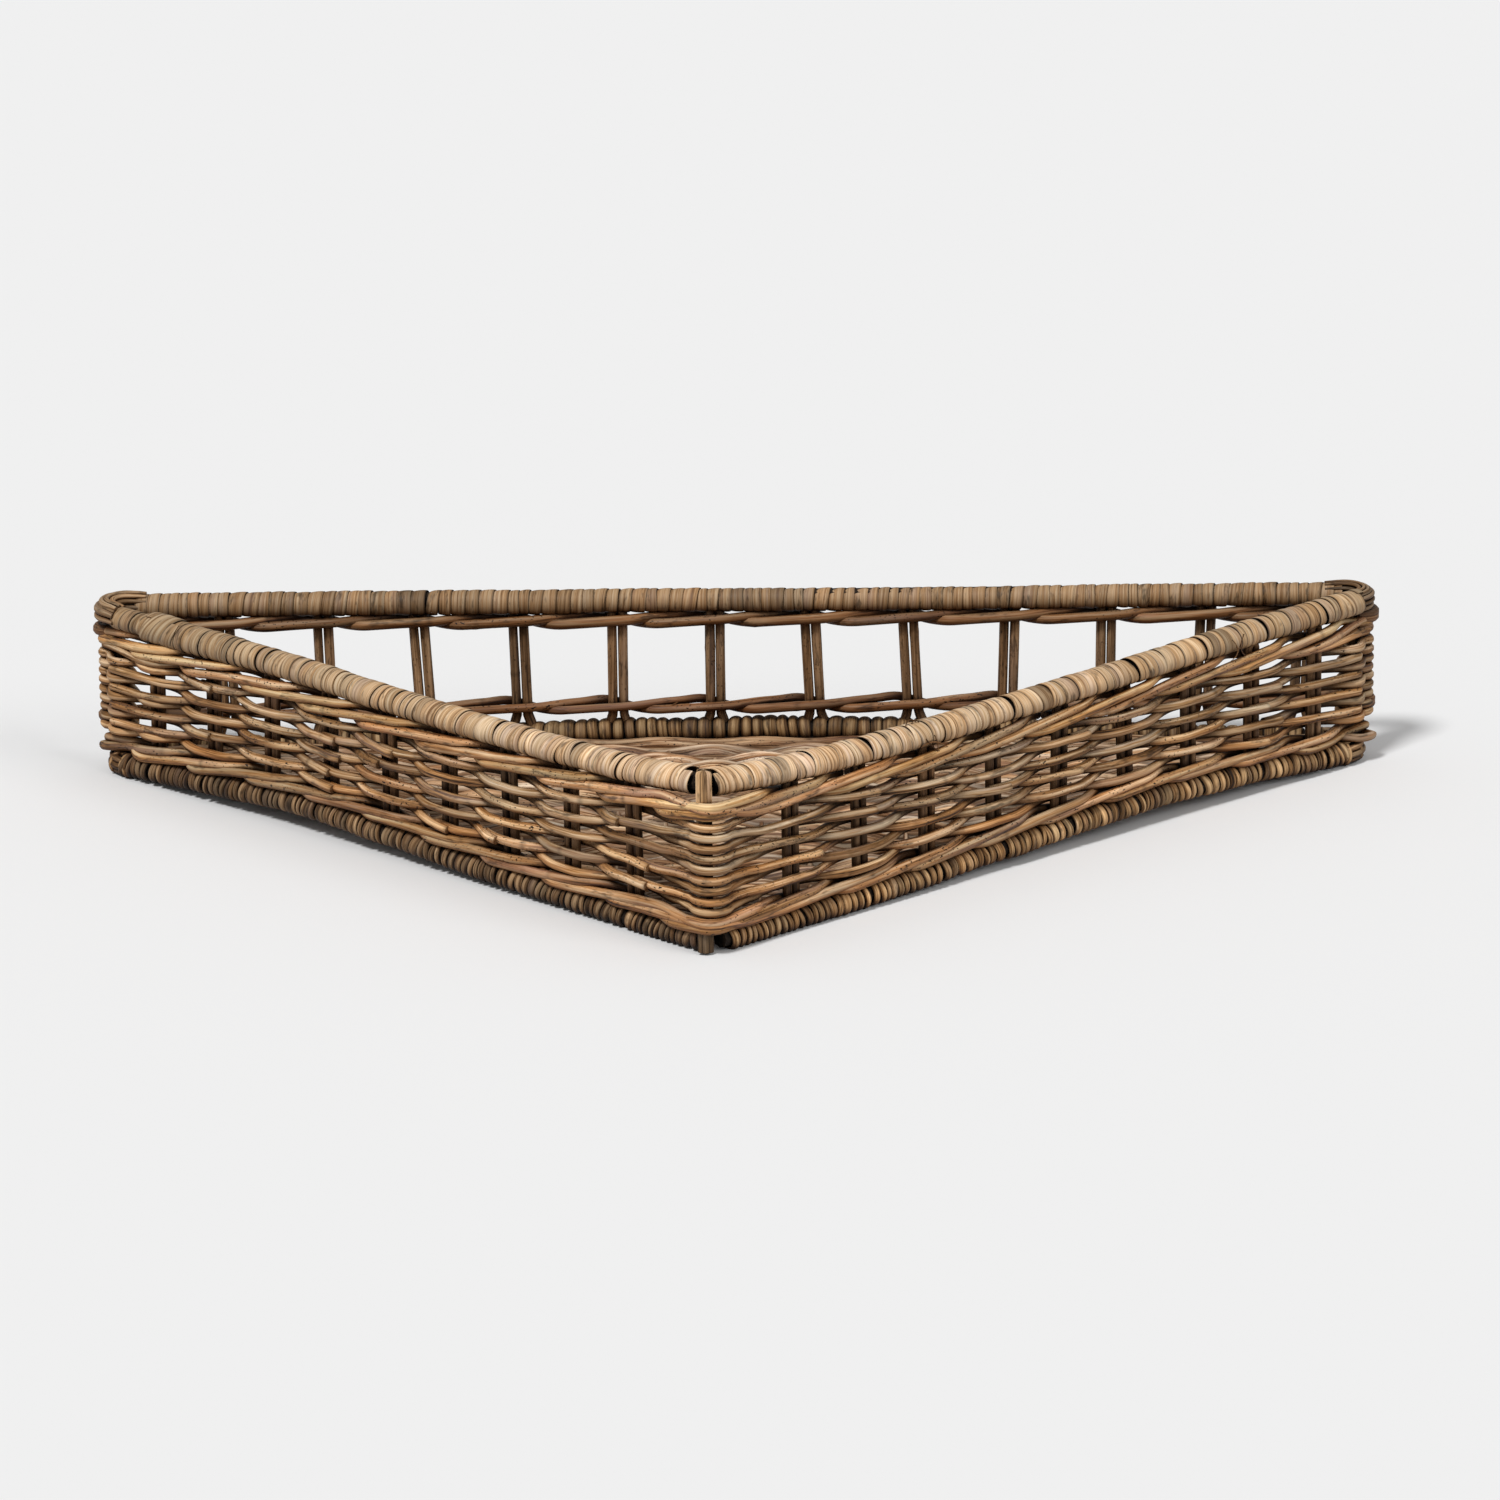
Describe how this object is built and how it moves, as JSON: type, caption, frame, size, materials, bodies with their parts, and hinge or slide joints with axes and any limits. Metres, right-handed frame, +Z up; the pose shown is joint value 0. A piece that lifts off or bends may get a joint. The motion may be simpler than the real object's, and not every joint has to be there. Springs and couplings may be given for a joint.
{
  "type": "triangular basket",
  "caption": "Low triangular corner basket with two woven rod walls, cane-wound rails and an open long side on paired stakes.",
  "frame": {"origin": "on the ground, under the middle of the basket's bounding box", "axes": "+Z up, +X along the open long side to the right as seen from the near corner, +Y from the right-angled near corner to the open side"},
  "size_m": [0.7218, 0.3843, 0.0993],
  "materials": {
    "rim_cane": "satin split cane, weathered",
    "base_cane": "dull cane",
    "pole": "dull peeled rod",
    "stake": "dull rod",
    "weaver": "weathered rod",
    "wale": "golden rod, slightly glossy",
    "floor": "woven rods, dull"
  },
  "bodies": {
    "root": {"base_pole": "pole", "base_wrap_left": "base_cane", "base_wrap_open": "base_cane", "base_wrap_right": "base_cane", "floor_mat": "floor", "post_left": "stake", "post_near": "stake", "post_right": "stake", "rim_pole": "pole", "rim_wrap_left": "rim_cane", "rim_wrap_open": "rim_cane", "rim_wrap_right": "rim_cane", "stakes_left_1": "stake", "stakes_left_2": "stake", "stakes_left_3": "stake", "stakes_left_4": "stake", "stakes_left_5": "stake", "stakes_left_6": "stake", "stakes_left_7": "stake", "stakes_left_8": "stake", "stakes_left_9": "stake", "stakes_open_1": "stake", "stakes_open_10": "stake", "stakes_open_11": "stake", "stakes_open_12": "stake", "stakes_open_2": "stake", "stakes_open_3": "stake", "stakes_open_4": "stake", "stakes_open_5": "stake", "stakes_open_6": "stake", "stakes_open_7": "stake", "stakes_open_8": "stake", "stakes_open_9": "stake", "stakes_right_1": "stake", "stakes_right_2": "stake", "stakes_right_3": "stake", "stakes_right_4": "stake", "stakes_right_5": "stake", "stakes_right_6": "stake", "stakes_right_7": "stake", "stakes_right_8": "stake", "stakes_right_9": "stake", "wale_left_lower": "wale", "wale_left_upper": "wale", "wale_open_lower_a": "wale", "wale_open_lower_b": "wale", "wale_open_upper_a": "wale", "wale_open_upper_b": "wale", "wale_right_lower": "wale", "wale_right_upper": "wale", "weaver_left_1": "weaver", "weaver_left_2": "weaver", "weaver_left_3": "weaver", "weaver_left_4": "weaver", "weaver_left_5": "weaver", "weaver_right_1": "weaver", "weaver_right_2": "weaver", "weaver_right_3": "weaver", "weaver_right_4": "weaver", "weaver_right_5": "weaver"}
  },
  "joints": []
}
